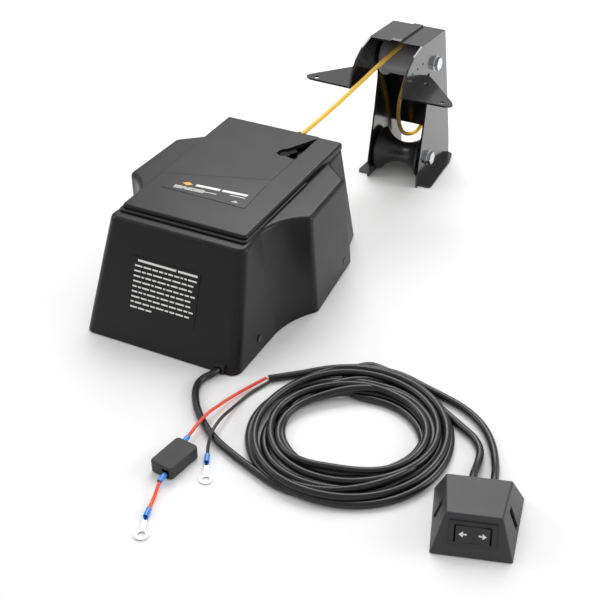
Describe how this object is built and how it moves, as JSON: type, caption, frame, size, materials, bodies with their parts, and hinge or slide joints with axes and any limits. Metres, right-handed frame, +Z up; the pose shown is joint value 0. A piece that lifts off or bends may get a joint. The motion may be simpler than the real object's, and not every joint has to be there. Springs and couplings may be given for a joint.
{
  "type": "electric anchor winch kit",
  "caption": "Black covered drum winch with a yellow rope through a sheet-metal bow davit with two rollers, wired to a wedge rocker switch box and a fused supply cable.",
  "frame": {"origin": "centre of the winch's four deck bolts, on the deck", "axes": "+X across the winch to the side the switch lies on, +Y the way the rope leaves toward the davit, +Z up from the deck"},
  "size_m": [0.6098, 0.875, 0.2122],
  "materials": {
    "cover_plastic": "satin black moulded plastic",
    "decal": "printed gloss label",
    "notice": "printed label, white on black",
    "zinc_steel": "zinc plated",
    "base_aluminium": "mill finish",
    "pad_rubber": "matte rubber",
    "frame_steel": "black zinc",
    "bush_brass": "plain brass",
    "shaft_steel": "ground steel",
    "drum_plastic": "black nylon",
    "rope_yellow": "braided cord",
    "gear_steel": "oiled steel",
    "motor_paint": "black paint",
    "lever_plastic": "black nylon",
    "davit_paint": "gloss black paint",
    "roller_nylon": "grey nylon",
    "roller_rubber": "black moulded roller",
    "switch_plastic": "dark grey moulded plastic",
    "rocker_plastic": "dark grey rocker",
    "cable_jacket": "round cable jacket",
    "lead_red": "stranded lead insulation",
    "lead_black": "stranded lead insulation",
    "crimp_blue": "nylon crimp sleeve"
  },
  "bodies": {
    "kit": {"winch_cover": "cover_plastic", "top_panel": "cover_plastic", "top_decal": "decal", "notice_label": "notice", "cover_screws": "zinc_steel", "base_plate": "base_aluminium", "base_pads": "pad_rubber", "side_frame_right": "frame_steel", "side_frame_left": "frame_steel", "frame_ties": "zinc_steel", "frame_screws": "zinc_steel", "shaft_bushes": "bush_brass", "gear_guard": "frame_steel", "motor_can": "motor_paint", "motor_end_cap": "drum_plastic", "terminal_block": "drum_plastic", "cable_gland": "pad_rubber", "lock_bracket": "frame_steel", "rope_fairlead": "shaft_steel", "davit_channel": "davit_paint", "davit_ears": "davit_paint", "roller_axles": "zinc_steel", "roller_nuts": "zinc_steel", "roller_washers": "zinc_steel", "switch_box": "switch_plastic", "switch_base": "switch_plastic", "switch_screws": "zinc_steel", "switch_bezel": "rocker_plastic", "rocker_pin": "shaft_steel", "switch_blades": "bush_brass", "switch_grommets": "pad_rubber", "rope_run": "rope_yellow", "rope_knot": "rope_yellow", "winch_cable": "cable_jacket", "cable_coil": "cable_jacket", "switch_cable_inner": "cable_jacket", "switch_cable_outer": "cable_jacket", "supply_cable": "cable_jacket", "red_lead_cable": "lead_red", "black_lead": "lead_black", "red_lead_battery": "lead_red", "crimp_sleeves": "crimp_blue", "ring_terminals": "zinc_steel", "breaker_boot": "pad_rubber", "breaker": "zinc_steel"},
    "drum": {"drum": "drum_plastic", "drum_shaft": "shaft_steel", "rope_winding": "rope_yellow", "drum_gear": "gear_steel"},
    "mid": {"mid_shaft": "shaft_steel", "mid_pinion": "gear_steel", "mid_gear": "gear_steel"},
    "motor_rotor": {"motor_shaft": "shaft_steel", "motor_pinion": "gear_steel"},
    "lock": {"lock_lever": "lever_plastic", "lock_pin": "shaft_steel", "lock_cam": "gear_steel"},
    "upper_roller": {"upper_roller": "roller_nylon"},
    "anchor_roller": {"anchor_roller": "roller_rubber"},
    "rocker": {"rocker": "rocker_plastic"}
  },
  "joints": [
    {"name": "drum_spin", "type": "hinge", "parent": "kit", "child": "drum", "pos_m": [0, 0.027, 0.072], "axis": [1, 0, 0], "continuous": true},
    {"name": "mid_spin", "type": "hinge", "parent": "kit", "child": "mid", "pos_m": [0.06, -0.02694, 0.06953], "axis": [1, 0, 0], "continuous": true},
    {"name": "motor_spin", "type": "hinge", "parent": "kit", "child": "motor_rotor", "pos_m": [0.06, -0.064, 0.044], "axis": [1, 0, 0], "continuous": true},
    {"name": "lock_swing", "type": "hinge", "parent": "kit", "child": "lock", "pos_m": [0.03, 0.094, 0.125], "axis": [0, 0, 1], "range_deg": [-60, 0]},
    {"name": "upper_roller_spin", "type": "hinge", "parent": "kit", "child": "upper_roller", "pos_m": [0.078, 0.362, 0.168], "axis": [1, 0, 0], "continuous": true},
    {"name": "anchor_roller_spin", "type": "hinge", "parent": "kit", "child": "anchor_roller", "pos_m": [0.078, 0.348, 0.031], "axis": [1, 0, 0], "continuous": true},
    {"name": "rocker_tilt", "type": "hinge", "parent": "kit", "child": "rocker", "pos_m": [0.43972, -0.29397, 0.02024], "axis": [-0.1159, 0.3937, 0.9119], "range_deg": [-10, 10], "stiffness_Nm_per_rad": 0.15}
  ],
  "couplings": [
    {"joint": "mid_spin", "follows": "drum_spin", "ratio": -5},
    {"joint": "motor_spin", "follows": "drum_spin", "ratio": 20}
  ]
}
